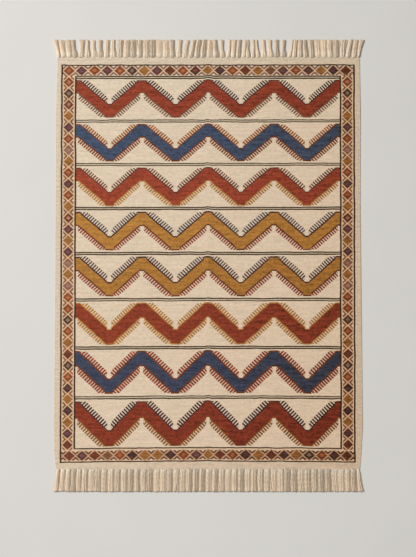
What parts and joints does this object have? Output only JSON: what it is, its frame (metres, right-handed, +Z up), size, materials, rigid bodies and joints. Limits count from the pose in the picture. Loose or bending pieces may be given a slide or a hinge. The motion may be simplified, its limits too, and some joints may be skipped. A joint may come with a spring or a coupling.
{
  "type": "fringed flat-woven kilim rug",
  "caption": "Flat-woven rectangular kilim rug lying flat, with zigzag bands inside a diamond border and a knotted cotton fringe at both ends.",
  "frame": {"origin": "on the floor under the middle of the whole rug, fringes included", "axes": "+Z up out of the rug's face, +Y along the rug towards the end with the shorter, parted fringe, +X across it"},
  "size_m": [1.2289, 1.7856, 0.0041],
  "materials": {
    "kilim_weave": "flat-woven wool and cotton, cream ground with rust red, indigo and gold bands",
    "fringe_cotton": "undyed soft-twist cotton warp ends"
  },
  "bodies": {
    "root": {"rug_cloth": "kilim_weave", "fringe_top": "fringe_cotton", "fringe_bottom": "fringe_cotton"}
  },
  "joints": []
}
